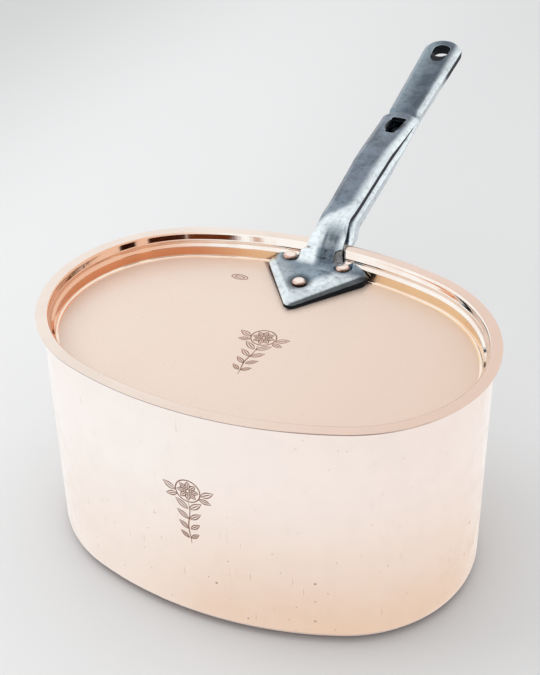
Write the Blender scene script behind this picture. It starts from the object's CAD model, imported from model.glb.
import math

import bmesh
import bpy
from mathutils import Matrix, Vector, noise


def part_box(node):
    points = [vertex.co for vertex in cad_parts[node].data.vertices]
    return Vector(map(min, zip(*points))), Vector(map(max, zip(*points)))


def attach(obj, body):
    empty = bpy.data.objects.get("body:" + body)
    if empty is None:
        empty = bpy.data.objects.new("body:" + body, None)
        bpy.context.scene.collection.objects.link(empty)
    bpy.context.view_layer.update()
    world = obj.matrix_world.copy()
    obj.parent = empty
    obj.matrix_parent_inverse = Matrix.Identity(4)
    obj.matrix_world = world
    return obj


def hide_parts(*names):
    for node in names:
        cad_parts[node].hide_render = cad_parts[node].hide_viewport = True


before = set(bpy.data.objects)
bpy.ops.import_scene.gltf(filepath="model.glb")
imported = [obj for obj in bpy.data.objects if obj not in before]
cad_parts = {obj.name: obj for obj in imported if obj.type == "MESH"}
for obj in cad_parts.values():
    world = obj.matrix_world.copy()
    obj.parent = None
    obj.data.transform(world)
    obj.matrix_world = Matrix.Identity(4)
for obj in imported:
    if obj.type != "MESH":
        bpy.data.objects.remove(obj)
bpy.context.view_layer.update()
print("frame loaded")

mm = 0.001
degree = math.pi / 180


# Lines of straight runs and arcs

def towards(angle):
    return Vector((math.cos(angle), math.sin(angle)))


def pointOnPiece(piece, distance):
    at, angle, radius, turn = piece["at"], piece["angle"], piece["radius"], piece["turn"]
    if turn == 0:
        return at + towards(angle) * distance, angle
    side = math.copysign(1, turn)
    swept = angle + side * distance / radius
    across = side * radius * (math.sin(swept) - math.sin(angle))
    up = side * radius * (math.cos(angle) - math.cos(swept))
    return at + Vector((across, up)), swept


def traceLine(start, heading, moves):  # a move is (run,) or (radius, turn)
    pieces = []
    at, angle, start = Vector(start), heading, 0
    for move in moves:
        radius, turn = move if len(move) == 2 else (0, 0)
        length = radius * abs(turn) if turn else move[0]
        piece = {"at": at, "angle": angle, "from": start, "length": length, "radius": radius, "turn": turn}
        pieces.append(piece)
        at, angle = pointOnPiece(piece, length)
        start += length
    return {"pieces": pieces, "length": start}


def roundedLine(corners):  # each corner is (x, y, radius)
    points = [Vector(c[:2]) for c in corners]
    legs = [b - a for a, b in zip(points, points[1:])]
    moves, used = [], 0
    for before, after, corner in zip(legs, legs[1:], corners[1:]):
        turn = math.atan2(before.x * after.y - before.y * after.x, before.dot(after))
        cut = corner[2] * math.tan(abs(turn) / 2)
        moves += [(before.length - used - cut,), (corner[2], turn)]
        used = cut
    moves.append((legs[-1].length - used,))
    return traceLine(points[0], math.atan2(legs[0].y, legs[0].x), moves)


def sampleLine(line, arcStep=7 * degree, runStep=1.0):
    samples = [pointOnPiece(line["pieces"][0], 0)]
    for piece in line["pieces"]:
        steps = math.ceil(piece["length"] / runStep)
        if piece["turn"]:
            steps = max(3, math.ceil(abs(piece["turn"]) / arcStep))
        for step in range(1, max(1, steps) + 1):
            samples.append(pointOnPiece(piece, piece["length"] * step / max(1, steps)))
    return samples


def partWay(line, index, share):
    piece = line["pieces"][index]
    point, _ = pointOnPiece(piece, piece["length"] * share)
    return point, piece["from"] + piece["length"] * share


def lineEnd(line, before=0):
    piece = line["pieces"][-1]
    return pointOnPiece(piece, piece["length"] - before)


def smoothStep(value, low, high):
    share = min(1, max(0, (value - low) / (high - low)))
    return share * share * (3 - 2 * share)


def mix(a, b, share):
    return a + (b - a) * share


# Meshes

def makeObject(name, vertices, faces, smooth=True):
    mesh = bpy.data.meshes.new(name)
    mesh.from_pydata([tuple(v) for v in vertices], [], faces)
    mesh.validate()
    mesh.update()
    obj = bpy.data.objects.new(name, mesh)
    bpy.context.scene.collection.objects.link(obj)
    if smooth:
        mesh.shade_smooth()
    return obj


def applyModifiers(obj):
    deps = bpy.context.evaluated_depsgraph_get()
    mesh = bpy.data.meshes.new_from_object(obj.evaluated_get(deps))
    old = obj.data
    obj.modifiers.clear()
    obj.data = mesh
    bpy.data.meshes.remove(old)
    return obj


def joinRings(rings, closeEnds=True):  # closed skin through rings of points
    count = len(rings[0])
    vertices = [point for ring in rings for point in ring]
    faces = []
    for level in range(len(rings) - 1):
        low, high = level * count, (level + 1) * count
        for index in range(count):
            after = (index + 1) % count
            faces.append((low + index, low + after, high + after, high + index))
    if closeEnds:
        faces.append(tuple(reversed(range(count))))
        faces.append(tuple(range(len(vertices) - count, len(vertices))))
    return vertices, faces


def turnOut(obj):  # all faces outwards
    skin = bmesh.new()
    skin.from_mesh(obj.data)
    bmesh.ops.recalc_face_normals(skin, faces=skin.faces)
    skin.to_mesh(obj.data)
    skin.free()
    return obj


def ringObject(name, rings):
    return turnOut(makeObject(name, *joinRings(rings)))


# The four-arc oval that the pot, the lid and all their rings share

def makeOval(halfLength, halfWidth, endRadius):
    squares = halfLength ** 2 + halfWidth ** 2
    sideRadius = (squares - 2 * halfLength * endRadius) / (2 * (halfWidth - endRadius))
    endCentre, sideCentre = halfLength - endRadius, sideRadius - halfWidth
    return {
        "endRadius": endRadius, "sideRadius": sideRadius,
        "endCentre": endCentre, "sideCentre": sideCentre,
        "sideAngle": math.atan2(endCentre, sideCentre),
    }


def ovalRing(oval, inset, z, endSteps=60, sideSteps=44):
    endAngle = math.pi / 2 - oval["sideAngle"]
    arcs = [
        ((oval["endCentre"], 0), oval["endRadius"], -endAngle, 2 * endAngle, endSteps),
        ((0, -oval["sideCentre"]), oval["sideRadius"], endAngle, 2 * oval["sideAngle"], sideSteps),
        ((-oval["endCentre"], 0), oval["endRadius"], math.pi - endAngle, 2 * endAngle, endSteps),
        ((0, oval["sideCentre"]), oval["sideRadius"], math.pi + endAngle, 2 * oval["sideAngle"], sideSteps),
    ]
    ring = []
    for (x, y), radius, start, sweep, steps in arcs:
        for step in range(steps):
            angle = start + sweep * step / steps
            reach = radius - inset
            ring.append(Vector((x + reach * math.cos(angle), y + reach * math.sin(angle), z)))
    return ring


def arcDrop(radius, out):
    return radius - math.sqrt(radius ** 2 - out ** 2)


# Section of a sheet in (inset, z): its front face, a round edge, and its back face
def sheetSection(line, thickness, roundStart, roundEnd):
    samples = sampleLine(line, runStep=0.03)
    front = [point for point, _ in samples]
    back = [p + Vector((math.sin(a), -math.cos(a))) * thickness for p, a in samples]

    def edge(a, b, out, steps=8):  # half circle from a to b
        middle, radius = (a + b) / 2, (a - b).length / 2
        turned = [math.pi * step / steps for step in range(1, steps)]
        return [middle + (a - middle) * math.cos(t) + out * radius * math.sin(t) for t in turned]

    startEdge = edge(back[0], front[0], -towards(samples[0][1])) if roundStart else []
    endEdge = edge(front[-1], back[-1], towards(samples[-1][1])) if roundEnd else []
    return front, endEdge, back[::-1], startEdge


# Skin of a sheet from section points, with the two flat middles filled by shrinking rings
def sheetSkin(name, oval, parts, slots):
    middleShares = [0.86, 0.68, 0.5, 0.32, 0.15]
    rings, ringSlots = [], []
    for points, slot in zip(parts, slots):
        for point in points:
            rings.append(ovalRing(oval, point.x, point.y))
            ringSlots.append(slot)
    count = len(rings[0])
    first, last = [[[Vector((p.x * k, p.y * k, p.z)) for p in ring] for k in middleShares]
                   for ring in (rings[0], rings[-1])]
    rings = first[::-1] + rings + last
    ringSlots = [slots[0]] * len(first) + ringSlots + [slots[-1]] * len(last)
    vertices, faces = joinRings(rings, closeEnds=False)
    faceSlots = [max(pair) for pair in zip(ringSlots, ringSlots[1:]) for _ in range(count)]
    for ring, base, order in ((rings[0], 0, 1), (rings[-1], len(vertices) - count, -1)):
        centre = len(vertices)
        vertices.append(Vector((0, 0, ring[0].z)))
        for index in range(count):
            faces.append((centre, base + (index + 1) % count, base + index)[::order])
            faceSlots.append(slots[0] if base == 0 else slots[-1])
    obj = makeObject(name, vertices, faces)
    obj.data.polygons.foreach_set("material_index", faceSlots)
    return turnOut(obj)


print("tools ready")


# Node groups and materials. A socket knows its tree, so a new node finds its place by any of them.

def isSocket(value):
    return isinstance(value, bpy.types.NodeSocket)


def feed(socket, value):  # links a socket or sets a plain value
    if isSocket(value):
        socket.id_data.links.new(value, socket)
    else:
        socket.default_value = value


def addNode(source, kind, settings=None, **inputs):
    node = source.id_data.nodes.new(kind)
    for key, value in (settings or {}).items():
        setattr(node, key, value)
    for key, value in inputs.items():
        feed(node.inputs[int(key[1:]) if key[1:].isdigit() else key], value)
    return node


def mathNode(operation, a, b=0.0, clamp=False):
    settings = {"operation": operation, "use_clamp": clamp}
    return addNode(a if isSocket(a) else b, "ShaderNodeMath", settings, i0=a, i1=b).outputs[0]


def times(result, *values):
    for value in values:
        result = mathNode("MULTIPLY", result, value)
    return result


def largest(result, *values):
    for value in values:
        result = mathNode("MAXIMUM", result, value)
    return result


def plus(a, b):
    return mathNode("ADD", a, b)


def minus(a, b):
    return mathNode("SUBTRACT", a, b)


def opposite(mask):
    return minus(1.0, mask)


def ranged(value, low, high, toLow=0.0, toHigh=1.0):
    return addNode(value, "ShaderNodeMapRange", {"interpolation_type": "SMOOTHSTEP"}, **{
        "Value": value, "From Min": low, "From Max": high, "To Min": toLow, "To Max": toHigh}).outputs[0]


def between(mask, low, high):  # low where the mask is 0, high where it is 1
    return ranged(mask, 0.0, 1.0, low, high)


def layered(colour, *layers):  # each layer is a mask and the colour that lies there
    for mask, over in layers:
        colour = addNode(mask, "ShaderNodeMix", {"data_type": "RGBA"}, i0=mask, i6=colour, i7=over).outputs[2]
    return colour


def scaledVector(vector, scale, turn=(0, 0, 0)):
    return addNode(vector, "ShaderNodeMapping", None, Vector=vector, Scale=scale, Rotation=turn).outputs[0]


def noiseNode(vector, scale, detail=3.0, roughness=0.5, distortion=0.0):
    return addNode(vector, "ShaderNodeTexNoise", None, Vector=vector, Scale=scale, Detail=detail,
                   Roughness=roughness, Distortion=distortion).outputs["Fac"]


def newGroup(name, values, output):  # a vector and some numbers in, one value out
    tree = bpy.data.node_groups.new(name, "ShaderNodeTree")
    tree.interface.new_socket(name="Vector", in_out="INPUT", socket_type="NodeSocketVector")
    for label, value in values.items():
        socket = tree.interface.new_socket(name=label, in_out="INPUT", socket_type="NodeSocketFloat")
        socket.default_value = value
    tree.interface.new_socket(name=output, in_out="OUTPUT", socket_type="NodeSocketFloat")
    given, result = tree.nodes.new("NodeGroupInput"), tree.nodes.new("NodeGroupOutput")
    return tree, given.outputs, result.inputs


def blotchGroup():  # slow cloudy variation of a finish
    tree, given, result = newGroup("blotches", {"Scale": 12.0, "Low": 0.4, "High": 0.6}, "Mask")
    cloud = noiseNode(given["Vector"], given["Scale"], 4.0, 0.6, 0.3)
    feed(result["Mask"], ranged(cloud, given["Low"], given["High"]))
    return tree


def polishGroup():  # fine lines left by polishing and wiping, in two directions
    tree, given, result = newGroup("polishing lines", {"Fineness": 900.0, "Stretch": 0.03}, "Lines")
    squeeze = {"X": given["Stretch"], "Y": given["Stretch"], "Z": 1.0}
    upright = addNode(tree, "ShaderNodeCombineXYZ", None, **squeeze).outputs[0]
    squeeze = {"X": 1.0, "Y": given["Stretch"], "Z": given["Stretch"]}
    level = addNode(tree, "ShaderNodeCombineXYZ", None, **squeeze).outputs[0]
    fine = noiseNode(scaledVector(given["Vector"], upright), given["Fineness"], 2.0)
    wiped = scaledVector(given["Vector"], level, (0.3, 0.5, 0.7))
    wipe = noiseNode(wiped, given["Fineness"], 2.0)
    feed(result["Lines"], plus(times(fine, 0.6), times(wipe, 0.4)))
    return tree


def scratchGroup():  # a few longer scratches
    tree, given, result = newGroup("scratches", {"Scale": 60.0, "Width": 0.02}, "Mask")
    marks = []
    for turn, squeeze in (((0.2, 0.1, 0.4), 9.0), ((1.1, 0.6, 2.0), 7.0), ((2.3, 1.7, 1.2), 8.0)):
        vector = scaledVector(given["Vector"], (squeeze, 1.0, 1.0), turn)
        line = mathNode("ABSOLUTE", minus(noiseNode(vector, given["Scale"], 1.0, 0.4, 0.2), 0.5))
        gate = noiseNode(vector, times(given["Scale"], 0.31), 1.0)
        marks.append(times(ranged(line, 0.0, given["Width"], 1.0, 0.0), ranged(gate, 0.6, 0.66)))
    feed(result["Mask"], largest(*marks))
    return tree


def pitGroup():  # small scattered pits and specks
    tree, given, result = newGroup("pits", {"Scale": 220.0, "Size": 0.16, "Rarity": 0.8}, "Mask")
    cell = addNode(tree, "ShaderNodeTexVoronoi", {"feature": "F1"}, Vector=given["Vector"],
                   Scale=given["Scale"])
    chance = addNode(tree, "ShaderNodeSeparateColor", None, Color=cell.outputs["Color"]).outputs[0]
    dot = ranged(cell.outputs["Distance"], times(given["Size"], 0.4), given["Size"], 1.0, 0.0)
    feed(result["Mask"], times(mathNode("GREATER_THAN", chance, given["Rarity"]), dot))
    return tree


groups = {
    "blotches": blotchGroup(), "polish": polishGroup(), "scratches": scratchGroup(), "pits": pitGroup(),
}


def useGroup(name, vector, **values):
    return addNode(vector, "ShaderNodeGroup", {"node_tree": groups[name]}, Vector=vector, **values).outputs[0]


def newMaterial(name):
    material = bpy.data.materials.new(name)
    material.use_nodes = True
    return material, addNode(material.node_tree, "ShaderNodeTexCoord").outputs["Object"]


def dress(material, colour, roughness, height, distance, metallic=1.0):
    shader = material.node_tree.nodes["Principled BSDF"]
    bump = addNode(colour, "ShaderNodeBump", None, Height=height, Distance=distance)
    looks = {"Base Color": colour, "Roughness": roughness, "Metallic": metallic, "Normal": bump.outputs[0]}
    for name, value in looks.items():
        feed(shader.inputs[name], value)
    return material


# Masks by place, in metres of the whole object

def along(vector, axis, low, high):  # 0 at low, 1 at high, along an axis
    return ranged(addNode(vector, "ShaderNodeSeparateXYZ", None, Vector=vector).outputs[axis], low, high)


def within(vector, *spans):  # the product of some such spans
    return times(*[along(vector, *span) for span in spans])


def slanting(vector, direction, low, high):  # the same along any direction
    reach = addNode(vector, "ShaderNodeVectorMath", {"operation": "DOT_PRODUCT"}, i0=vector, i1=direction)
    return ranged(reach.outputs["Value"], low, high)


def around(vector, centre, inner, outer, flat=(1, 1, 0)):  # 1 within inner, 0 beyond outer
    offset = addNode(vector, "ShaderNodeVectorMath", {"operation": "SUBTRACT"}, i0=vector, i1=centre)
    offset = scaledVector(offset.outputs[0], flat)
    reach = addNode(vector, "ShaderNodeVectorMath", {"operation": "LENGTH"}, i0=offset)
    return ranged(reach.outputs["Value"], outer, inner)


def surface(source, output):  # Normal or Pointiness
    return addNode(source, "ShaderNodeNewGeometry").outputs[output]


def facing(source, axis):
    return addNode(source, "ShaderNodeSeparateXYZ", None, Vector=surface(source, "Normal")).outputs[axis]


wallFinish = {
    "left": (0.97, 0.91, 0.87, 1), "right": (0.91, 0.795, 0.735, 1), "leftToRight": ("X", -0.13, 0.17),
    "warm": (0.80, 0.56, 0.40, 1), "warmUp": ("Z", 0.152, -0.03), "warmAcross": ("X", -0.14, 0.09),
    "warmLeft": 0.42, "cloud": (0.95, 0.83, 0.765, 1), "cloudShare": 0.16,
    "speck": (0.42, 0.25, 0.19, 1), "worn": ("Z", 0.12, 0.04),
    "under": (0.30, 0.13, 0.08, 1), "underSlope": (-0.25, -0.6), "underUp": ("Z", 0.1, 0.05),
    "baseEdge": (("Z", 0.006, 0.0025), ("X", -0.05, 0.12)), "roughness": (0.17, 0.27),
}


def wallCopper():
    finish = wallFinish
    material, place = newMaterial("wallCopper")
    cloud = useGroup("blotches", place, Scale=14.0, Low=0.38, High=0.64)
    fineCloud = useGroup("blotches", place, Scale=70.0, Low=0.35, High=0.7)
    warm = times(along(place, *finish["warmUp"]), between(cloud, 0.9, 1.0),
                 between(along(place, *finish["warmAcross"]), finish["warmLeft"], 1.0))
    lower = along(place, *finish["worn"])
    speck = useGroup("pits", place, Scale=190.0, Size=0.17, Rarity=0.86)
    spots = useGroup("pits", place, Scale=85.0, Size=0.13, Rarity=0.86)
    worn = largest(times(speck, between(lower, 0.2, 0.5)), times(spots, lower, 0.95))
    upright = scaledVector(place, (1.0, 1.0, 0.09), (0.06, 0, 0))
    nick = useGroup("pits", upright, Scale=300.0, Size=0.14, Rarity=0.72)
    long = useGroup("scratches", place, Scale=22.0, Width=0.004)
    scratch = largest(times(nick, lower, 0.8), times(long, 0.35))
    under = largest(ranged(facing(place, "Z"), *finish["underSlope"]),
                    times(within(place, *finish["baseEdge"]), 0.8))
    colour = layered(
        finish["left"], (along(place, *finish["leftToRight"]), finish["right"]),
        (times(cloud, finish["cloudShare"]), finish["cloud"]), (warm, finish["warm"]),
        (worn, finish["speck"]), (times(scratch, 0.45), finish["speck"]),
        (times(under, along(place, *finish["underUp"]), 0.9), finish["under"]))
    lines = useGroup("polish", place, Fineness=1400.0, Stretch=0.02)
    height = plus(times(lines, 0.02), times(noiseNode(place, 26.0, 2.0), 0.4))
    height = minus(minus(height, times(worn, 0.12)), times(scratch, 0.04))
    return dress(material, colour, between(fineCloud, *finish["roughness"]), height, 0.0006)


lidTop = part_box("lid_pan")[1].z
lidFinish = {
    "floorLeft": (0.785, 0.665, 0.575, 1), "floorRight": (0.725, 0.56, 0.46, 1),
    "floorAcross": ("X", -0.13, 0.19), "floorRose": (0.73, 0.585, 0.505, 1),
    "stain": (0.42, 0.28, 0.22, 1), "grime": (-0.0268, -0.0240),
    "coveLeft": (0.79, 0.34, 0.175, 1), "coveRight": (0.97, 0.78, 0.52, 1), "coveAcross": ("X", -0.11, -0.02),
    "coveFoot": (0.98, 0.86, 0.74, 1), "footUp": ("Z", lidTop - 17.5 * mm, lidTop - 18.5 * mm),
    "bandLeft": (0.84, 0.50, 0.34, 1), "bandRight": (0.97, 0.92, 0.86, 1), "bandAcross": ("X", -0.135, -0.07),
    "bandUp": ("Z", lidTop - 11.8 * mm, lidTop - 10.8 * mm),
    "rolledUp": ("Z", lidTop - 1 * mm, lidTop - 8.8 * mm), "rolledLean": 0.8 * mm,
    "beadLevel": lidTop - 6.6 * mm, "beadHalf": 0.9 * mm,
    "rimLeft": (0.90, 0.80, 0.72, 1), "rimRight": (0.80, 0.60, 0.50, 1), "rimAcross": ("X", -0.12, 0.17),
    "underEdge": (0.16, 0.09, 0.12, 1), "tarnish": (("X", -0.14, -0.10), ("X", 0.15, 0.11)),
}


def lidFloorCopper():
    finish = lidFinish
    material, place = newMaterial("lidFloorCopper")
    cloud = useGroup("blotches", place, Scale=11.0, Low=0.36, High=0.66)
    grain = noiseNode(place, 620.0, 3.0, 0.6)
    speck = useGroup("pits", place, Scale=190.0, Size=0.13, Rarity=0.9)
    scratch = useGroup("scratches", place, Scale=26.0, Width=0.004)
    grime = [opposite(slanting(place, ironPad[side], *finish["grime"])) for side in ("left", "right")]
    colour = layered(
        finish["floorLeft"], (along(place, *finish["floorAcross"]), finish["floorRight"]),
        (times(cloud, 0.22), finish["floorRose"]), (ranged(grain, 0.35, 0.7, 0.0, 0.2), finish["floorRose"]),
        (times(speck, 0.45), finish["stain"]), (times(scratch, 0.16), finish["stain"]),
        (times(*grime, 0.8), finish["underEdge"]))
    height = plus(times(grain, 0.08), times(noiseNode(place, 55.0, 2.0), 0.3))
    height = minus(height, times(speck, 0.06))
    # satin, as the floor was never buffed like the wall
    return dress(material, colour, ranged(grain, 0.3, 0.7, 0.3, 0.4), height, 0.0005, 0.3)


def collarCopper():
    finish = lidFinish
    material, place = newMaterial("collarCopper")
    cloud = useGroup("blotches", place, Scale=40.0, Low=0.4, High=0.62)
    cove = layered(finish["coveLeft"], (along(place, *finish["coveAcross"]), finish["coveRight"]),
                   (along(place, *finish["footUp"]), finish["coveFoot"]))
    band = layered(finish["bandLeft"], (along(place, *finish["bandAcross"]), finish["bandRight"]))
    colour = layered(cove, (along(place, *finish["bandUp"]), band), (times(cloud, 0.12), finish["coveLeft"]))
    lines = useGroup("polish", place, Fineness=700.0, Stretch=0.04)
    bead = around(place, (0, 0, finish["beadLevel"]), 0.0, finish["beadHalf"], (0, 0, 1))
    height = plus(plus(along(place, *finish["rolledUp"]), times(lines, 0.03)), times(bead, 0.45))
    return dress(material, colour, between(cloud, 0.05, 0.1), height, finish["rolledLean"])


def rimCopper():
    finish = lidFinish
    material, place = newMaterial("rimCopper")
    cloud = useGroup("blotches", place, Scale=18.0, Low=0.36, High=0.66)
    speck = useGroup("pits", place, Scale=240.0, Size=0.14, Rarity=0.9)
    tarnish = times(along(surface(place, "Normal"), "Z", 0.4, -0.1), within(place, *finish["tarnish"]), 0.85)
    colour = layered(
        finish["rimLeft"], (along(place, *finish["rimAcross"]), finish["rimRight"]),
        (times(cloud, 0.25), finish["floorRose"]), (times(speck, 0.4), finish["stain"]),
        (tarnish, finish["underEdge"]))
    lines = useGroup("polish", place, Fineness=900.0, Stretch=0.05)
    return dress(material, colour, between(cloud, 0.16, 0.26), lines, 0.00004)


tinFinish = {"light": (0.80, 0.79, 0.775, 1), "dark": (0.68, 0.67, 0.66, 1), "wiped": (0.88, 0.87, 0.86, 1)}


def tinLining():
    material, place = newMaterial("tinLining")
    cloud = useGroup("blotches", place, Scale=16.0, Low=0.35, High=0.65)
    wipe = useGroup("polish", place, Fineness=260.0, Stretch=0.06)
    colour = layered(tinFinish["light"], (cloud, tinFinish["dark"]),
                     (ranged(wipe, 0.45, 0.62, 0.0, 0.4), tinFinish["wiped"]))
    # wiped tin is dull
    return dress(material, colour, ranged(wipe, 0.35, 0.65, 0.28, 0.46), wipe, 0.0001, 0.7)


ironFinish = {
    "steelBlue": (0.215, 0.265, 0.325, 1), "slate": (0.12, 0.145, 0.18, 1), "violet": (0.19, 0.19, 0.235, 1),
    "deep": (0.08, 0.105, 0.135, 1), "dark": (0.008, 0.01, 0.014, 1), "worn": (0.89, 0.97, 1.0, 1),
    "pale": (0.40, 0.50, 0.57, 1), "roughness": (0.2, 0.34), "scaleRoughness": 0.55, "scaleSpecular": 0.12,
}
ironPad = {  # which way its two front edges look, and how far from the lid's middle they are worn
    "left": (-0.8, -0.6, 0), "leftWide": (-0.046, -0.032), "leftEdge": (-0.0322, -0.0297),
    "right": (0.8, -0.6, 0), "rightWide": (-0.046, -0.037), "rightRim": (-0.0284, -0.0266),
    "rightEnd": (("X", 0.046, 0.040), ("Y", 0.099, 0.088)),
    "top": ("Z", 0.185, 0.182), "shade": ("X", 0.012, 0.03),
    "middle": (0, 0.085, 0), "middleReach": (0.006, 0.026), "ring": 5.5 * mm, "bed": (12 * mm, 14 * mm),
    "ringReach": {"left": 8.5 * mm, "right": 8.5 * mm, "point": 12.5 * mm},
}
ironNeck = {
    "foot": (("Y", 0.094, 0.100), ("Y", 0.126, 0.112)),
    "shine": (("X", 0.001, -0.003), ("X", -0.017, -0.013)),
    "hollow": (0.0085, 0, 0), "hollowReach": (0.0045, 0.0085),
    "root": (0.008, 0.121, 0), "rootReach": (0.003, 0.014),
    "pale": ("Y", 0.17, 0.125),
}
ironBar = {
    "whole": (("Y", 0.100, 0.112), ("X", 0.026, 0.021)), "tip": (("Y", 0.225, 0.25), ("Y", 0.295, 0.285)),
    "lineNear": (0.122, 0.165, -0.011, 0.0075), "lineFar": (0.20, 0.285, 0.0, 0.0045), "lineSoft": 4 * mm,
    "grip": ("Y", 0.292, 0.32), "gripLeft": (("Y", 0.292, 0.305), ("X", 0.002, -0.013)),
    "seatEnd": ("Y", 0.283, 0.287),
    "openSide": (("Y", 0.105, 0.115), ("X", 0.0078, 0.0086), ("Y", 0.385, 0.36)),
    "below": (0, -0.159, 1), "belowLevel": (0.1690, 0.1676),
    "slot": (0, 0.2807, 0), "slotReach": (6.8 * mm, 7.8 * mm), "slotShape": (1, 0.52, 0),
    "holeFromEnd": 27.5 * mm, "holeReach": (6.4 * mm, 7.2 * mm), "holeShape": (1, 0.75, 0),
}
rivetSpots = ("left", "right", "point")


def forgedIron():  # dark on the flats, rubbed bright along one side, black on upright sides and in creases
    finish, pad, neck, bar = ironFinish, ironPad, ironNeck, ironBar
    material, place = newMaterial("forgedIron")
    cloud = useGroup("blotches", place, Scale=55.0, Low=0.36, High=0.68)
    tint = useGroup("blotches", place, Scale=24.0, Low=0.5, High=0.72)
    scale = useGroup("blotches", place, Scale=260.0, Low=0.45, High=0.75)
    streak = useGroup("polish", place, Fineness=420.0, Stretch=0.05)
    broken = ranged(streak, 0.4, 0.6, 0.82, 1.0)
    mottled = ranged(noiseNode(place, 75.0, 3.0, 0.6), 0.35, 0.6, 0.55, 1.0)
    pit = useGroup("pits", place, Scale=420.0, Size=0.24, Rarity=0.8)
    axes = addNode(place, "ShaderNodeSeparateXYZ", None, Vector=place).outputs
    up = facing(place, "Z")

    # the side of the bar that the hand rubs; near the neck it widens over the whole bar
    line = plus(ranged(axes["Y"], *bar["lineNear"]), ranged(axes["Y"], *bar["lineFar"]))
    side = ranged(minus(axes["X"], line), -bar["lineSoft"], bar["lineSoft"])
    root = around(place, neck["root"], *neck["rootReach"])
    rubbed = times(side, within(place, *bar["whole"]), ranged(up, 0.45, 0.7), opposite(times(root, 0.6)))
    tip = times(side, within(place, *bar["tip"]), ranged(up, 0.3, 0.5))
    grip = times(along(place, *bar["grip"]), mottled)
    gripLeft = times(within(place, *bar["gripLeft"]), 0.5)

    # the neck's foot is bright on the left and has a dark hollow beside it
    foot = within(place, *neck["foot"])
    hollow = times(foot, around(place, neck["hollow"], *neck["hollowReach"], (1, 0, 0)),
                   ranged(streak, 0.42, 0.58, 0.65, 1.0))
    shine = times(foot, within(place, *neck["shine"]))

    # the pad is rubbed towards its two front edges and black round the rivets
    onPad = along(place, *pad["top"])
    nearFoot = times(along(place, *neck["pale"]), opposite(onPad), 0.45)
    leftEdge = mathNode("ADD", times(slanting(place, pad["left"], *pad["leftWide"]), 0.4),
                        times(slanting(place, pad["left"], *pad["leftEdge"]), 0.6), True)
    rightEdge = times(slanting(place, pad["right"], *pad["rightWide"]), within(place, *pad["rightEnd"]),
                      between(cloud, 1.0, 0.7))
    rim = times(onPad, slanting(place, pad["right"], *pad["rightRim"]), 0.85)
    middle = times(onPad, around(place, pad["middle"], *pad["middleReach"]), 0.45)
    rings, beds = [], []
    for body, flat, level in (("pot", (1, 1, 1), 1.0), ("lid", (1, 1, 0), onPad)):
        for spot in rivetSpots:
            low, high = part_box(f"{body}_rivet_{spot}")
            centre = (low + high) / 2
            rings.append(times(around(place, centre, pad["ring"], pad["ringReach"][spot], flat), level))
            beds.append(around(place, centre, *pad["bed"], flat))
    clear = opposite(largest(*beds))

    # upright sides keep their black scale, apart from the lower bar's open side
    below = largest(slanting(place, bar["below"], *bar["belowLevel"]), along(place, *bar["seatEnd"]))
    openSide = times(ranged(facing(place, "X"), 0.2, 0.5), within(place, *bar["openSide"]), below)
    upright = times(ranged(mathNode("ABSOLUTE", up), 0.5, 0.2), clear, opposite(openSide))
    pointed = surface(place, "Pointiness")
    edge = times(ranged(pointed, 0.51, 0.56), broken, 0.5)
    crease = times(ranged(pointed, 0.495, 0.45), clear, 0.85)
    slot = around(place, bar["slot"], *bar["slotReach"], bar["slotShape"])
    holeAt = (0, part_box("pot_handle")[1].y - bar["holeFromEnd"], 0)
    hole = around(place, holeAt, *bar["holeReach"], bar["holeShape"])

    colour = layered(
        finish["steelBlue"], (cloud, finish["slate"]), (times(tint, 0.35), finish["violet"]),
        (grip, finish["deep"]), (times(onPad, along(place, *pad["shade"]), 0.6), finish["slate"]),
        (largest(middle, gripLeft), finish["pale"]), (nearFoot, finish["pale"]),
        (times(rubbed, broken, 0.95), finish["worn"]),
        (times(onPad, largest(leftEdge, rightEdge), broken, 0.92), finish["worn"]),
        (times(hollow, 0.92), finish["deep"]), (largest(shine, tip), finish["worn"]), (edge, finish["worn"]),
        (times(openSide, broken, 0.5), finish["worn"]))
    for mask in (crease, largest(times(largest(*rings), 0.85), rim), upright, largest(slot, hole),
                 times(scale, 0.3), times(pit, 0.4)):
        colour = layered(colour, (mask, finish["dark"]))
    hammer, grain = noiseNode(place, 70.0, 2.0, 0.5, 0.2), noiseNode(place, 900.0, 3.0, 0.6)
    height = minus(plus(times(hammer, 0.8), times(grain, 0.04)), times(pit, 0.08))
    shader = material.node_tree.nodes["Principled BSDF"]
    shader.inputs["Specular IOR Level"].default_value = finish["scaleSpecular"]  # counts only on black scale
    rough = largest(between(scale, *finish["roughness"]), times(upright, finish["scaleRoughness"]))
    return dress(material, colour, rough, height, 0.0006, between(upright, 1.0, 0.1))


rivetFinish = {
    "copper": (0.84, 0.66, 0.57, 1), "cloud": (0.68, 0.44, 0.35, 1), "crown": (0.96, 0.84, 0.77, 1),
    "foot": (0.13, 0.07, 0.05, 1), "shaded": (0.7, -0.7, 0),
}


def rivetCopper():
    finish = rivetFinish
    material, place = newMaterial("rivetCopper")
    cloud = useGroup("blotches", place, Scale=120.0, Low=0.38, High=0.64)
    normal = surface(place, "Normal")
    crease = ranged(surface(place, "Pointiness"), 0.49, 0.44, 0.0, 0.7)
    shaded = times(slanting(normal, finish["shaded"], 0.45, 0.8), 0.9)
    colour = layered(
        finish["copper"], (cloud, finish["cloud"]), (along(normal, "Z", 0.8, 0.95), finish["crown"]),
        (largest(crease, shaded), finish["foot"]))
    return dress(material, colour, between(cloud, 0.22, 0.36), noiseNode(place, 260.0, 2.0), 0.0005)


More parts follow.
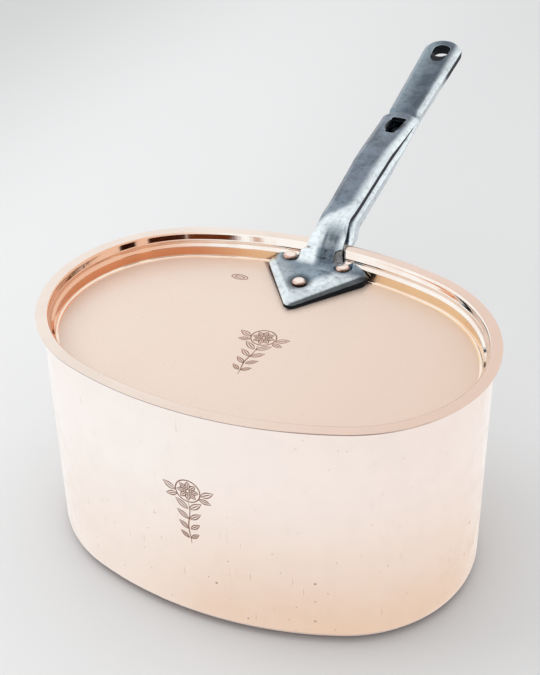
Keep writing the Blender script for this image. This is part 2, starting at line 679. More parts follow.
def engravedCopper():
    material, place = newMaterial("engravedCopper")
    cloud = useGroup("blotches", place, Scale=260.0, Low=0.35, High=0.65)
    colour = layered((0.20, 0.095, 0.065, 1), (cloud, (0.42, 0.24, 0.17, 1)))
    return dress(material, colour, between(cloud, 0.45, 0.65), noiseNode(place, 1200.0, 2.0), 0.0001, 0.6)


materials = {
    "wall": wallCopper(), "lidFloor": lidFloorCopper(), "collar": collarCopper(), "rim": rimCopper(),
    "tin": tinLining(), "iron": forgedIron(), "rivet": rivetCopper(), "engraved": engravedCopper(),
}


def finishWith(obj, body, slot, *names):
    for name in names:
        obj.data.materials.append(materials[name])
    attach(obj, body)


print("materials ready")


# The pot: one sheet of copper, tinned inside

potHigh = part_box("pot_body")[1]
potSizes = {
    "halfLength": potHigh.x, "halfWidth": potHigh.y, "height": potHigh.z,
    "endRadius": 0.904 * potHigh.y, "sheet": 2.5 * mm, "cornerRadius": 12.5 * mm,
    "baseRun": 12 * mm,
}
potOval = makeOval(potSizes["halfLength"], potSizes["halfWidth"], potSizes["endRadius"])


def potBody():
    sheet, corner, run = (potSizes[key] for key in ("sheet", "cornerRadius", "baseRun"))
    line = traceLine((corner + run, 0), math.pi, [
        (run,), (corner, -math.pi / 2), (potSizes["height"] - corner - sheet / 2,)])
    outer, rim, inner, _ = sheetSection(line, sheet, False, True)
    obj = sheetSkin("pot_wall", potOval, [outer, rim, inner], [0, 0, 1])
    finishWith(obj, "pot", "copper", "wall", "tin")
    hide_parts("pot_body")


potBody()
print("pot built")


# The lid: flange, shoulder, collar with a ledge, cove and sunken floor

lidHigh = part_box("lid_pan")[1]
lidSizes = {
    "halfLength": lidHigh.x, "halfWidth": lidHigh.y, "top": lidHigh.z,
    "overhang": 5 * mm, "sheet": 1.6 * mm, "flangeSlope": 4 * degree, "shoulderRadius": 3 * mm,
    "collarFit": 1.5 * mm, "taper": 10 * degree, "ledgeDepth": 8.8 * mm, "ledgeWidth": 2.1 * mm,
    "ledgeHollowRadius": 0.5 * mm, "ledgeNoseRadius": 1 * mm, "ledgeSlope": 46 * degree,
    "depth": 19.6 * mm, "coveRadius": 1.2 * mm, "floorRuns": (1 * mm, 9 * mm),
}
lidEndRadius = potSizes["endRadius"] + lidSizes["overhang"]
lidOval = makeOval(lidSizes["halfLength"], lidSizes["halfWidth"], lidEndRadius)
collarInset = lidSizes["overhang"] + potSizes["sheet"] + lidSizes["collarFit"] + lidSizes["sheet"]
floorInset = collarInset + lidSizes["ledgeWidth"]
lidFloor = lidSizes["top"] - lidSizes["depth"]


def lidPan():
    s = lidSizes
    slope, taper, shoulder, edge = s["flangeSlope"], s["taper"], s["shoulderRadius"], s["sheet"] / 2
    collarRun = (s["ledgeDepth"] - shoulder * (1 - math.sin(taper))) / math.cos(taper)
    width = collarInset - collarRun * math.sin(taper) - shoulder * (math.cos(taper) + math.sin(slope))
    run = (width - edge) / math.cos(slope)
    drop = run * math.sin(slope) + shoulder * (1 - math.cos(slope))
    hollow, nose = s["ledgeHollowRadius"], s["ledgeNoseRadius"]
    lean = s["ledgeSlope"]
    ledgeRun = s["ledgeWidth"] - hollow * (math.cos(taper) - math.cos(lean)) - nose * (1 - math.cos(lean))
    ledgeRun /= math.sin(lean)
    ledgeHeight = hollow * (math.sin(lean) - math.sin(taper)) + ledgeRun * math.cos(lean)
    ledgeHeight += nose * math.sin(lean)
    shoulderTurn = (taper - math.pi / 2 - slope) / 2
    flange = traceLine((edge, s["top"] - drop), slope, [(run,), (shoulder, shoulderTurn)])
    collar = traceLine(*lineEnd(flange), [
        (shoulder, shoulderTurn), (collarRun,), (hollow, lean - taper), (ledgeRun,), (nose, -lean),
        (s["depth"] - s["ledgeDepth"] - ledgeHeight - s["coveRadius"],), (s["coveRadius"], math.pi / 2)])
    floor = traceLine(*lineEnd(collar), [(length,) for length in s["floorRuns"]])
    flangeTop, _, flangeUnder, edgeRound = sheetSection(flange, s["sheet"], True, False)
    collarTop, _, collarUnder, _ = sheetSection(collar, s["sheet"], False, False)
    floorTop, _, floorUnder, _ = sheetSection(floor, s["sheet"], False, False)
    parts = [floorTop[:0:-1], collarTop[::-1], flangeTop[-2::-1],
             edgeRound[::-1], flangeUnder[::-1], collarUnder[-2::-1], floorUnder[-2::-1]]
    obj = sheetSkin("lid_sheet", lidOval, parts, [0, 1, 2, 2, 3, 3, 3])
    finishWith(obj, "lid", "lid_copper", "lidFloor", "collar", "rim", "tin")
    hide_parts("lid_pan")


lidPan()
print("lid built")


# The forged handles. Each is a kite-shaped pad, a neck and a bar, which are forged into one.

padSizes = {
    "pointLength": 62 * mm, "halfWidth": 45.5 * mm, "pointRadius": 6 * mm, "sideRadius": 7 * mm,
    "pointThickness": 4.6 * mm, "backThickness": 9.2 * mm, "edgeShare": 0.66, "bevelRun": 3,
    "sideGap": 1 * mm, "lean": 3.2 * mm, "shift": 0.7 * mm, "gap": 0.15 * mm, "potBackLength": 14 * mm,
    "trim": 1 * mm, "mostBevel": 0.9, "leastRise": 0.02,
}
heelSizes = {
    "halfWidth": 40.5 * mm, "height": 19.5 * mm, "sideHeight": 4 * mm, "arch": 3, "reach": 16 * mm,
    "foot": 1.5 * mm, "sideReach": 0.8, "sink": 1 * mm, "endShare": 0.8, "hollow": 2.2, "round": 0.12,
}
neckSizes = {
    "length": 10 * mm, "edgeHeight": 2.4 * mm, "waist": -0.8 * mm, "potWaist": -4.5 * mm,
    "shift": 4.2 * mm, "footHalfWidth": 16 * mm, "frontHalfWidth": 9 * mm, "hollow": 2.2 * mm,
    "fall": 2.5 * mm, "leastFront": 0.5 * mm, "frontRadius": 24 * mm,
    "backRadius": 4 * mm, "heelRadius": 2 * mm, "sink": 1 * mm, "toe": 4 * mm, "toeSink": 2 * mm,
    "setback": 3 * mm, "lean": -2 * mm, "belly": 6 * mm, "rise": 8 * mm, "fade": 40 * mm,
}
lidBar = {
    "halfWidth": 10.6 * mm, "tipHalfWidth": 15.8 * mm, "collarGap": 1.3 * mm, "rimGap": 1.2 * mm,
    "firstReach": 156 * mm, "firstSlope": 2.5 * degree, "secondReach": 228 * mm, "secondSlope": 9.5 * degree,
    "endSlope": 6.5 * degree,
    "rootThickness": 9.4 * mm, "tipThickness": 3.8 * mm, "slotLength": 28 * mm, "slotOuterWidth": 13 * mm,
    "slotInnerWidth": 8 * mm, "slotFromTip": 24 * mm, "slotRadius": 2 * mm,
}
potBar = {
    "halfWidth": 9 * mm, "gripHalfWidth": 17.8 * mm, "drop": 8.8 * mm, "firstReach": 235 * mm,
    "firstSlope": 9.5 * degree, "gripSlope": 9.2 * degree, "thickness": 10 * mm, "seatLength": 38 * mm,
    "seatFade": 24 * mm, "shoulderLength": 4 * mm, "endGap": 1 * mm, "holeLength": 20 * mm,
    "holeWidth": 15 * mm, "holeFromTip": 18 * mm,
}
bevels = {"broad": (4.2 * mm, 3 * mm), "small": (1.4 * mm, 1.4 * mm)}
seatGap = 0.3 * mm
bendRadius = 150 * mm

collarFace = lidSizes["halfWidth"] - floorInset - lidBar["collarGap"]
lidPadWall = lidOval["sideRadius"] - floorInset
padWidest = collarFace + lidBar["collarGap"] - padSizes["sideGap"]
padWidest -= arcDrop(lidPadWall, padSizes["halfWidth"])
lidPadPoint = padWidest - padSizes["pointLength"]
potWallRadius = potOval["sideRadius"] + seatGap
potBarTop = potSizes["height"] - potBar["drop"]
potPadPoint = potBarTop - padSizes["potBackLength"] - padSizes["pointLength"]


def onLidPad(out, distance, height):
    lean = padSizes["shift"] + padSizes["lean"] * (distance / padSizes["pointLength"] - 0.5)
    return Vector((out + lean, lidPadPoint + distance, lidFloor + padSizes["gap"] + height))


def onPotPad(out, distance, height):
    bend = math.asin(out / (potWallRadius + padSizes["backThickness"]))
    radius = potWallRadius + height
    return Vector((-radius * math.sin(bend), radius * math.cos(bend) - potOval["sideCentre"],
                   potPadPoint + distance))


def padTop(distance):
    return mix(padSizes["pointThickness"], padSizes["backThickness"], distance / padSizes["pointLength"])


def padSkin(name, backLength, place):
    s = padSizes
    outline = roundedLine([
        (s["pointLength"], -s["halfWidth"], 0), (0, 0, s["pointRadius"]),
        (s["pointLength"], s["halfWidth"], s["sideRadius"]), (s["pointLength"] + backLength, 0, 0)])
    trim, back = s["trim"], s["pointLength"] + backLength
    half = [p for p, _ in sampleLine(outline, runStep=2 * mm) if p.y > trim and p.x < back - trim]
    half.append(Vector((back - trim, trim)))
    spans = 12
    rings = []
    for at in half:
        edge = padTop(at.x) * s["edgeShare"]
        rise = padTop(at.x) - edge
        room = min(at.x - half[0].x, back - at.x)
        top = edge + rise * min(1, max(s["leastRise"], room / rise))
        bevel = min(rise * s["bevelRun"], s["mostBevel"] * at.y)
        shares = [2 * step / spans - 1 for step in range(spans + 1)]
        section = [(-at.y * share, 0) for share in shares]
        section += [(-at.y, edge)]
        section += [((at.y - bevel) * share, top) for share in shares]
        section += [(at.y, edge)]
        rings.append([place(out, at.x, height) for out, height in section])
    return ringObject(name, rings)


def heelSkin(name, steps=64, levels=12):  # bends the lid's pad up along the collar to the neck
    h = heelSizes
    rings = []
    for step in range(steps + 1):
        out = h["halfWidth"] * (2 * step / steps - 1)
        face = collarFace - arcDrop(lidPadWall, out)
        edge = mix(h["sideHeight"], h["height"], 1 - (abs(out) / h["halfWidth"]) ** h["arch"])
        low = min(padSizes["backThickness"] - h["sink"], edge * h["endShare"])
        reach = min(h["reach"], (padSizes["halfWidth"] - abs(out)) * h["sideReach"])
        foot = h["foot"]
        section = [(reach, foot), (0, foot), (0, edge - reach * h["round"])]
        for level in range(levels, 0, -1):
            share = level / levels * (1 - h["round"])
            section.append((reach * (1 - share), mix(low, edge, share ** h["hollow"])))
        section.append((reach, low))
        rings.append([onLidPad(out, face - before - lidPadPoint, height) for before, height in section])
    return ringObject(name, rings)


def alongSlope(start, slope, reach):
    return Vector((reach, start.y + (reach - start.x) * math.tan(slope)))


# Side lines of the lid's handle
lidNeckTop = Vector((collarFace + lidSizes["ledgeWidth"], lidSizes["top"] + lidBar["rimGap"]))
lidFirst = alongSlope(lidNeckTop, lidBar["firstSlope"], lidBar["firstReach"])
lidSecond = alongSlope(lidFirst, lidBar["secondSlope"], lidBar["secondReach"])
lidTip = alongSlope(lidSecond, lidBar["endSlope"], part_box("lid_handle")[1].y)
lidBack = roundedLine([
    (collarFace - neckSizes["length"], lidFloor + neckSizes["sink"], 0),
    (collarFace, lidFloor + neckSizes["sink"], neckSizes["heelRadius"]),
    (lidNeckTop.x, lidNeckTop.y, neckSizes["backRadius"]), (*lidFirst, bendRadius), (*lidSecond, bendRadius),
    (*lidTip, 0)])
lidFront = roundedLine([
    (collarFace - neckSizes["length"] - neckSizes["toe"],
     lidFloor + padSizes["backThickness"] - neckSizes["toeSink"], 0),
    (collarFace - neckSizes["length"] + neckSizes["setback"], lidFloor + padSizes["backThickness"],
     neckSizes["heelRadius"]),
    (lidNeckTop.x + neckSizes["lean"], lidNeckTop.y + lidBar["rootThickness"], neckSizes["frontRadius"]),
    (lidFirst.x, lidFirst.y + lidBar["rootThickness"], bendRadius),
    (lidSecond.x, lidSecond.y + lidBar["rootThickness"], bendRadius),
    (lidTip.x, lidTip.y + lidBar["tipThickness"], 0)])

# Side lines of the pot's handle
wallFace = potSizes["halfWidth"] + seatGap
potFirst = alongSlope(Vector((wallFace, potBarTop)), potBar["firstSlope"], potBar["firstReach"])
seatShoulder = lidTip.x + potBar["endGap"]
seatDrop = lidBar["tipThickness"] + seatGap
gripStart = Vector((seatShoulder, lidTip.y + lidBar["tipThickness"]))
potTip = alongSlope(gripStart, potBar["gripSlope"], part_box("pot_handle")[1].y)
potFoot = potBarTop - potBar["thickness"] - neckSizes["length"]
potBack = roundedLine([
    (wallFace + neckSizes["sink"], potFoot + neckSizes["toe"], 0),
    (wallFace + neckSizes["sink"], potBarTop, neckSizes["backRadius"]), (*potFirst, bendRadius),
    (*gripStart, bendRadius), (*potTip, 0)])
potFront = roundedLine([
    (wallFace + padSizes["backThickness"] - neckSizes["toeSink"], potFoot - neckSizes["toe"], 0),
    (wallFace + padSizes["backThickness"] + neckSizes["belly"], potFoot + neckSizes["rise"],
     neckSizes["frontRadius"]),
    (potFirst.x, potFirst.y - potBar["thickness"], bendRadius),
    (gripStart.x, gripStart.y - potBar["thickness"], bendRadius),
    (potTip.x, potTip.y - potBar["thickness"], 0)])


def seatDropAt(reach):
    start = seatShoulder - potBar["seatLength"]
    end = smoothStep(reach, seatShoulder, seatShoulder + potBar["shoulderLength"])
    return seatDrop * smoothStep(reach, start - potBar["seatFade"], start) * (1 - end)


barShape = {
    "step": 2.5 * mm, "mostBevel": 0.42, "tipLength": 0.8, "tipFullness": 2.5, "tipSteps": 14,
    "tipEnd": 0.02 * mm, "backPlaces": (1, 0.5, 0, -0.5, -1),
    "frontPlaces": (  # share of the half width, how far its left side falls, how deep it is hollowed
        (-1, 1, 0), (-0.6, 0.6, 0), (-0.2, 0.2, 0), (0.1, 0, 0.1), (0.35, 0, 0.7), (0.55, 0, 1),
        (0.8, 0, 0.6), (1, 0, 0)),
}


def barHalfWidth(distance, neck, bar):
    n = neckSizes
    straight = mix(bar["start"], bar["end"], distance / bar["length"])
    width = straight + (n["footHalfWidth"] - straight) * neck ** 2 - 4 * bar["waist"] * neck * (1 - neck)
    cap, fullness = barShape["tipLength"] * bar["end"], barShape["tipFullness"]
    into = max(0, 1 - (bar["length"] - distance) / cap)
    return width * max(1e-6, 1 - into ** fullness) ** (1 / fullness)


def barSkin(name, bar):
    n, s = neckSizes, barShape
    rings = []
    length = bar["back"]["length"]
    for index, piece in enumerate(bar["back"]["pieces"]):
        last = index == len(bar["back"]["pieces"]) - 1
        steps = max(4, math.ceil(piece["length"] / s["step"]))
        shares = [step / steps for step in range(0 if index == 0 else 1, steps + (0 if last else 1))]
        if last:
            cap = s["tipLength"] * bar["end"] / piece["length"]
            tip = [1 - cap * (1 - math.sin(math.pi / 2 * k / s["tipSteps"])) for k in range(s["tipSteps"])]
            shares = [share for share in shares if share < tip[0]] + tip + [1 - s["tipEnd"] / piece["length"]]
        for share in shares:
            behind, distance = partWay(bar["back"], index, share)
            ahead, _ = partWay(bar["front"], index, share)
            across = ahead - behind
            thickness = across.length
            across.normalize()
            neck = 1 - smoothStep(distance, n["length"], bar["neckEnd"] + n["fade"])
            half = barHalfWidth(distance, neck, {**bar, "length": length})
            sideways = bar["shift"] * (1 - smoothStep(distance, bar["neckEnd"], bar["neckEnd"] + n["fade"]))
            start = bar["setDown"](behind.x)
            (backW, backH), (frontW, frontH) = [
                (min(w, s["mostBevel"] * half), min(h, s["mostBevel"] * thickness))
                for w, h in (bar["backBevel"], bar["frontBevel"])]
            backFace = half - backW * (1 - neck)
            frontFace = mix(half - frontW, n["frontHalfWidth"], neck)
            backEdge = mix(backH, n["edgeHeight"] / 2, neck)
            frontEdge = mix(thickness - frontH, n["edgeHeight"], neck)
            worked = 4 * neck * (1 - neck)
            fall, hollow = n["fall"] * worked, n["hollow"] * worked
            section = [(backFace * k, start) for k in s["backPlaces"]]
            fallen = min(frontEdge, thickness - fall - n["leastFront"])
            section += [(-half, start + backEdge), (-half, fallen)]
            section += [(frontFace * k, thickness - fall * f - hollow * h) for k, f, h in s["frontPlaces"]]
            section += [(half, frontEdge), (half, start + backEdge)]
            ring = []
            for out, height in section:
                at = behind + across * height
                x = out + sideways
                ring.append(Vector((x, at.x - arcDrop(bar["copper"], x) * neck, at.y)))
            rings.append(ring)
    return ringObject(name, rings)


def cutThrough(obj, outline, line, fromTip, depth=30 * mm):  # a hole square to the bar
    point, angle = lineEnd(line, fromTip)
    turn = Matrix.Translation((0, point.x, point.y)) @ Matrix.Rotation(angle, 4, "X")
    rings = [[turn @ Vector((x, y, z)) for x, y in outline] for z in (-depth, depth)]
    tool = ringObject("tool", rings)
    cut = obj.modifiers.new("cut", "BOOLEAN")
    cut.operation, cut.object, cut.solver = "DIFFERENCE", tool, "EXACT"
    applyModifiers(obj)
    bpy.data.objects.remove(tool)
    return obj


def forgeTogether(name, pieces, voxel=0.55 * mm, rounds=5):  # one skin with softly rounded edges
    vertices, faces = [], []
    for piece in pieces:
        first = len(vertices)
        vertices += [v.co.copy() for v in piece.data.vertices]
        faces += [tuple(first + i for i in p.vertices) for p in piece.data.polygons]
        bpy.data.objects.remove(piece)
    obj = makeObject(name, vertices, faces)
    remesh = obj.modifiers.new("weld", "REMESH")
    remesh.mode, remesh.voxel_size = "VOXEL", voxel
    soften = obj.modifiers.new("soften", "SMOOTH")
    soften.factor, soften.iterations = 0.5, rounds
    applyModifiers(obj)
    obj.data.shade_smooth()
    return obj


def slotOutline():
    inner, outer, half = lidBar["slotInnerWidth"] / 2, lidBar["slotOuterWidth"] / 2, lidBar["slotLength"] / 2
    radius = lidBar["slotRadius"]
    line = roundedLine([(0, -half, 0), (inner, -half, radius), (outer, half, radius), (-outer, half, radius),
                        (-inner, -half, radius), (0, -half, 0)])
    return [p for p, _ in sampleLine(line, 15 * degree)][:-1]


def holeOutline():
    radius, straight = potBar["holeWidth"] / 2, (potBar["holeLength"] - potBar["holeWidth"]) / 2
    steps = 40
    outline = []
    for step in range(steps):
        angle = 2 * math.pi * (step + 0.5) / steps
        x, y = radius * math.cos(angle), radius * math.sin(angle)
        outline.append((x, y + math.copysign(straight, y)))
    return outline


def lidHandle():
    bar = barSkin("lid_bar", {
        "back": lidBack, "front": lidFront, "backBevel": bevels["small"], "frontBevel": bevels["broad"],
        "neckEnd": lidBack["pieces"][3]["from"], "start": lidBar["halfWidth"], "end": lidBar["tipHalfWidth"],
        "waist": neckSizes["waist"], "shift": neckSizes["shift"], "setDown": lambda reach: 0,
        "copper": lidPadWall})
    bar = cutThrough(bar, slotOutline(), lidBack, lidBar["slotFromTip"])
    pad = padSkin("lid_pad", collarFace - padWidest, onLidPad)
    obj = forgeTogether("lid_iron", [bar, pad, heelSkin("lid_heel")])
    bedRivets(obj, "lid")
    finishWith(obj, "lid", "iron", "iron")
    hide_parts("lid_handle")


def potHandle():
    bar = barSkin("pot_bar", {
        "back": potBack, "front": potFront, "backBevel": bevels["broad"], "frontBevel": bevels["small"],
        "neckEnd": potBack["pieces"][2]["from"], "start": potBar["halfWidth"], "end": potBar["gripHalfWidth"],
        "waist": neckSizes["potWaist"], "shift": 0, "setDown": seatDropAt, "copper": potWallRadius})
    bar = cutThrough(bar, holeOutline(), potBack, potBar["holeFromTip"])
    pad = padSkin("pot_pad", padSizes["potBackLength"], onPotPad)
    obj = forgeTogether("pot_iron", [bar, pad])
    bedRivets(obj, "pot")
    finishWith(obj, "pot", "iron", "iron")
    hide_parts("pot_handle")


# Rivets: three through each pad

rivetSizes = {
    "headRadius": 5.6 * mm, "headHeight": 3 * mm, "shankRadius": 3 * mm, "tailRadius": 5.4 * mm,
    "tailHeight": 1.5 * mm, "tailProfile": ((0.8, 0), (0.95, 0.16), (1, 0.5), (0.96, 1)),
    "domePowers": (0.8, 0.9), "uneven": 0.5 * mm, "unevenScale": 260, "end": 0.001 * mm,
    "seatFlat": 0.3 * mm, "seatFade": 3.4 * mm, "seatDepth": 1.5 * mm, "seatSink": 0.1 * mm,
}


def rivetAxis(name):  # end of the tail, direction to the head, and length
    low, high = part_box(name)
    centre, size = (low + high) / 2, high - low
    if name.startswith("lid"):
        normal = Vector((0, 0, 1))
    else:
        turn = centre.x / potWallRadius
        normal = Vector((turn, math.sqrt(1 - turn ** 2), 0))
    length = min(max(size.y, size.z) if normal.z == 0 else size.z, size.dot(Vector([abs(c) for c in normal])))
    return centre - normal * length / 2, normal, length


def bedRivets(obj, body):  # flattens the iron under each head, as the setting tool does
    s = rivetSizes
    for spot in rivetSpots:
        foot, normal, length = rivetAxis(f"{body}_rivet_{spot}")
        seat = foot + normal * (length - s["headHeight"])
        for vertex in obj.data.vertices:
            off = vertex.co - seat
            height = off.dot(normal)
            out = (off - normal * height).length
            if height > -s["seatDepth"] and out < s["headRadius"] + s["seatFade"]:
                flat = 1 - smoothStep(out, s["headRadius"] + s["seatFlat"], s["headRadius"] + s["seatFade"])
                vertex.co -= normal * (height + s["seatSink"]) * flat
    obj.data.update()


def rivet(name, body, sides=48, domeSteps=12):  # a hammered dome, the shank, and the tail beaten flat
    s = rivetSizes
    foot, normal, length = rivetAxis(name)
    underside = length - s["headHeight"]
    tail, tailHeight = s["tailRadius"], s["tailHeight"]
    profile = [(s["end"], 0)] + [(tail * out, tailHeight * up) for out, up in s["tailProfile"]]
    profile += [(s["shankRadius"], tailHeight), (s["shankRadius"], underside)]
    outPower, upPower = s["domePowers"]
    for step in range(domeSteps):
        angle = math.pi / 2 * step / domeSteps
        out, up = math.cos(angle) ** outPower, math.sin(angle) ** upPower
        profile.append((s["headRadius"] * out, underside + s["headHeight"] * up))
    profile.append((s["end"], length))
    toNormal = Vector((0, 0, 1)).rotation_difference(normal).to_matrix()
    rings = []
    for radius, height in profile:
        ring = []
        for side in range(sides):
            local = towards(2 * math.pi * side / sides).to_3d() * radius + Vector((0, 0, height))
            if radius > s["shankRadius"] * 1.01:
                bump = abs(noise.noise((foot + toNormal @ local) * s["unevenScale"]))
                dent = bump * s["uneven"] / s["headRadius"]
                local = Vector((local.x * (1 - dent), local.y * (1 - dent), local.z))
            ring.append(foot + toNormal @ local)
        rings.append(ring)
    obj = ringObject(name.replace("rivet", "stud"), rings)
    finishWith(obj, body, "rivet", "rivet")
    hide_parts(name)


lidHandle()
potHandle()
print("handles forged")

for body in ("pot", "lid"):
    for spot in rivetSpots:
        rivet(f"{body}_rivet_{spot}", body)
print("rivets set")


# Plain engraved ornament: a rosette over a sprig of leaves, and a small bare oval beside the lid's pad

ornamentSizes = {
    "petals": 8, "petalFrom": 1.9, "petalLength": 5.4, "petalWidth": 2.9, "rosetteAt": 11.0, "eye": 1.3,
    "stemTop": 2.0, "stemEnd": -31.0, "leafLength": 10.5, "leafWidth": 3.6, "leafLean": 52 * degree,
    "leafAt": (-1.5, -9.5, -17.5, -25.0), "ring": 16.5, "stemWave": 0.7,
    "sideLeaves": ((8.6, -1.5, 62 * degree, 9.5, 3.8), (7.4, -4.2, 104 * degree, 8.0, 3.2)),
    "ovals": ((13, 6.4), (8, 2.6)), "line": 0.85 * mm, "raised": 0.03 * mm, "sunk": 0.15 * mm,
    "grown": 1.13 * mm, "lidPlace": (-2 * mm, -9 * mm), "wallPlace": (-7.5 * mm, 109 * mm),
    "padPlace": (-52.5 * mm, 73 * mm),
}


def leafLines(base, angle, length, width, steps=10):  # two curved sides and the rib of a pointed leaf
    way = towards(angle)
    across = Vector((-way.y, way.x))
    lines = []
    for side in (1, -1):
        lines.append([base + way * length * step / steps
                      + across * side * width / 2 * math.sin(math.pi * (step / steps) ** 0.85)
                      for step in range(steps + 1)])
    lines.append([base + way * length * share for share in (0.05, 0.3, 0.55, 0.8)])
    return lines


def loopLine(centre, width, height, steps=28):
    return [centre + Vector((width / 2 * math.cos(turn), height / 2 * math.sin(turn)))
            for turn in (2 * math.pi * step / steps for step in range(steps + 1))]


def sprigLines():
    s = ornamentSizes
    heart = Vector((0, s["rosetteAt"]))
    lines = [loopLine(heart, 2 * s["eye"], 2 * s["eye"]), loopLine(heart, s["ring"], s["ring"], 48)]
    for petal in range(s["petals"]):
        turn = math.pi / 2 + 2 * math.pi * petal / s["petals"]
        base = heart + towards(turn) * s["petalFrom"]
        lines += leafLines(base, turn, s["petalLength"], s["petalWidth"])
    for side in (1, -1):
        for out, up, lean, length, width in s["sideLeaves"]:
            lines += leafLines(heart + Vector((out * side, up)), math.pi / 2 - side * lean, length, width)
    lines.append([Vector((s["stemWave"] * math.sin(step / 3), mix(s["stemTop"], s["stemEnd"], step / 24)))
                  for step in range(25)])
    for number, at in enumerate(s["leafAt"]):
        small = 1 - 0.1 * number
        for side in (1, -1):
            lines += leafLines(Vector((0.5 * side, at - 1.6)), math.pi / 2 - side * s["leafLean"],
                               s["leafLength"] * small, s["leafWidth"] * small)
    return lines


def engrave(name, lines, place, body, slot):  # each line is a thin closed strip that tapers to its ends
    s = ornamentSizes
    vertices, faces = [], []
    for line in lines:
        looped = (line[0] - line[-1]).length < 0.01
        rings = []
        for index, at in enumerate(line):
            way = line[min(index + 1, len(line) - 1)] - line[max(index - 1, 0)]
            if looped and index in (0, len(line) - 1):
                way = line[1] - line[-2]
            across = Vector((-way.y, way.x)).normalized()
            share = 1 if looped else 0.35 + 0.65 * math.sin(math.pi * index / (len(line) - 1))
            off = across * s["line"] / mm / 2 * share
            rings.append([place(*(at + off), s["raised"]), place(*(at - off), s["raised"]),
                          place(*(at - off), -s["sunk"]), place(*(at + off), -s["sunk"])])
        stripVertices, stripFaces = joinRings(rings)
        faces += [[corner + len(vertices) for corner in face] for face in stripFaces]
        vertices += stripVertices
    obj = turnOut(makeObject(name, vertices, faces, smooth=False))
    finishWith(obj, body, slot, "engraved")


def onLidFloor(across, up, height):
    (x, y), grown = ornamentSizes["lidPlace"], ornamentSizes["grown"]
    return Vector((x + across * grown, y + up * grown, lidFloor + height))


def besidePad(across, up, height):
    x, y = ornamentSizes["padPlace"]
    return Vector((x + across * mm, y + up * mm, lidFloor + height))


def onFrontWall(across, up, height):
    (x, z), grown = ornamentSizes["wallPlace"], ornamentSizes["grown"]
    turn = (x + across * grown) / potOval["sideRadius"]
    radius = potOval["sideRadius"] + height
    return Vector((radius * math.sin(turn), potOval["sideCentre"] - radius * math.cos(turn), z + up * grown))


ovals = [loopLine(Vector((0, 0)), *size) for size in ornamentSizes["ovals"]]
engrave("lid_sprig", sprigLines(), onLidFloor, "lid", "lid_copper")
engrave("wall_sprig", sprigLines(), onFrontWall, "pot", "copper")
engrave("lid_oval", ovals, besidePad, "lid", "lid_copper")
print("ornament engraved")


# Stage: floor, light and camera

white, black = (1, 1, 1, 1), (0, 0, 0, 1)
stageSizes = {
    "floorHalf": 6.0, "floorColour": (0.735, 0.74, 0.745, 1), "worldDiffuse": 0.86, "bandSoft": 1.2,
    "leftShade": (("X", -0.40, -0.86),), "leftShare": 0.21,
    "rightShade": (("X", -0.35, -0.05), ("Y", 0.2, 0.5)), "rightShare": 0.06,
}
darkSides = [  # azimuth, half width and colour of what is dark in the studio, low beside the camera
    (-91, 1.2, (0.60, 0.38, 0.28, 1)), (-75.5, 10, (0.12, 0.028, 0.006, 1)),
    (-49, 15.5, (0.045, 0.012, 0.004, 1)), (-16, 7, (0.02, 0.005, 0.002, 1))]
darkHeights = (-16, -11, 22, 28)  # elevations where these fade in and out


def floorMaterial():
    s = stageSizes
    material, place = newMaterial("paleFloor")
    tree = material.node_tree
    shader = tree.nodes["Principled BSDF"]
    shader.inputs["Roughness"].default_value = 0.9
    shader.inputs["Specular IOR Level"].default_value = 0.1
    left = times(within(place, *s["leftShade"]), s["leftShare"])
    right = times(within(place, *s["rightShade"]), s["rightShare"])
    feed(shader.inputs["Base Color"], layered(s["floorColour"], (plus(left, right), black)))
    glow = addNode(tree, "ShaderNodeEmission", None, Color=white, Strength=1.0)
    path = addNode(tree, "ShaderNodeLightPath").outputs
    first = mathNode("LESS_THAN", path["Diffuse Depth"], 0.5)  # keeps the shadow under the pot dark
    both = addNode(tree, "ShaderNodeMixShader", None, i0=times(path["Is Glossy Ray"], first),
                   i1=shader.outputs[0], i2=glow.outputs[0])
    feed(tree.nodes["Material Output"].inputs["Surface"], both.outputs[0])
    return material


def makeFloor():
    half = stageSizes["floorHalf"]
    floor = makeObject("floor", [(-half, -half, 0), (half, -half, 0), (half, half, 0), (-half, half, 0)],
                       [(0, 1, 2, 3)], smooth=False)
    floor.data.materials.append(floorMaterial())


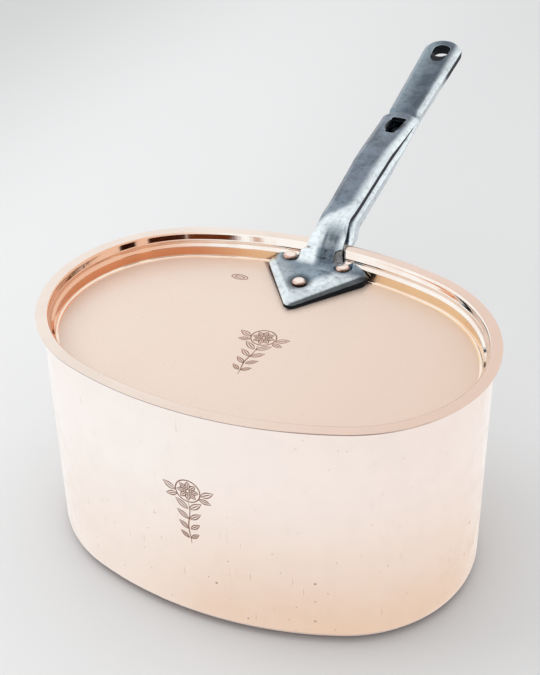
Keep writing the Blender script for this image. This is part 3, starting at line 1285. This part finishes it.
def makeWorld():  # white for what looks at it or mirrors it, with a few dark things low beside the camera
    world = bpy.data.worlds.new("studio")
    bpy.context.scene.world = world
    world.use_nodes = True
    tree = world.node_tree
    shade = tree.nodes["Background"]
    way = addNode(tree, "ShaderNodeTexCoord").outputs["Generated"]
    parts = addNode(tree, "ShaderNodeSeparateXYZ", None, Vector=way).outputs
    azimuth = mathNode("DEGREES", mathNode("ARCTAN2", parts["Y"], parts["X"]))
    height = mathNode("DEGREES", mathNode("ARCSINE", parts["Z"]))
    level = times(ranged(height, *darkHeights[:2]), ranged(height, *darkHeights[2:], 1.0, 0.0))
    path = addNode(tree, "ShaderNodeLightPath").outputs
    colour, soft = white, stageSizes["bandSoft"]
    for centre, half, dark in darkSides:
        off = mathNode("ABSOLUTE", minus(azimuth, centre))
        band = times(ranged(off, half + soft, half - soft), level, path["Is Glossy Ray"])
        colour = layered(colour, (band, dark))
    feed(shade.inputs["Color"], colour)
    direct = largest(*[path[kind] for kind in ("Is Camera Ray", "Is Transmission Ray", "Is Glossy Ray")])
    feed(shade.inputs["Strength"], between(direct, stageSizes["worldDiffuse"], 1.0))


def areaLight(name, place, size, power):
    data = bpy.data.lights.new(name, "AREA")
    data.shape, data.size, data.energy = "DISK", size, power
    lamp = bpy.data.objects.new(name, data)
    lamp.location = place
    lamp.rotation_euler = (Vector((0, 0, 0.1)) - Vector(place)).to_track_quat("-Z", "Y").to_euler()
    lamp.visible_glossy = False  # metal mirrors the plain white studio instead
    bpy.context.scene.collection.objects.link(lamp)


cameraFit = {  # in millimetres and degrees, from the photograph's two ovals
    "focal": 1335.4, "distance": 1000.2, "elevation": 34.24, "azimuth": 23.99, "roll": 1.06,
    "right": 2.84, "up": 65.92, "middle": 193.44 / 2, "pictureHeight": 675, "filmHeight": 36,
}


def makeCamera():
    c = cameraFit
    azimuth, elevation, roll = (c[key] * degree for key in ("azimuth", "elevation", "roll"))
    back = Vector((math.sin(azimuth) * math.cos(elevation), -math.cos(azimuth) * math.cos(elevation),
                   math.sin(elevation)))
    right = Vector((math.cos(azimuth), math.sin(azimuth), 0))
    up = back.cross(right)
    turned = Matrix((
        right * math.cos(roll) - up * math.sin(roll), right * math.sin(roll) + up * math.cos(roll), back))
    place = Vector((0, 0, c["middle"])) + turned.transposed() @ Vector((c["right"], c["up"], c["distance"]))
    camera = bpy.data.cameras.new("camera")
    camera.sensor_fit = "AUTO"
    camera.sensor_width = c["filmHeight"]
    camera.lens = c["focal"] * c["filmHeight"] / c["pictureHeight"]
    camera.clip_start, camera.clip_end = 0.01, 50
    obj = bpy.data.objects.new("camera", camera)
    obj.matrix_world = Matrix.Translation(place * mm) @ turned.transposed().to_4x4()
    bpy.context.scene.collection.objects.link(obj)
    bpy.context.scene.camera = obj


makeFloor()
makeWorld()
areaLight("leftSoftbox", (-1.4, -0.2, 1.7), 1.4, 12)
areaLight("topSoftbox", (0.1, 0.2, 2.6), 2.2, 10)
makeCamera()
bpy.context.scene.view_settings.view_transform = "Standard"
print("stage set")
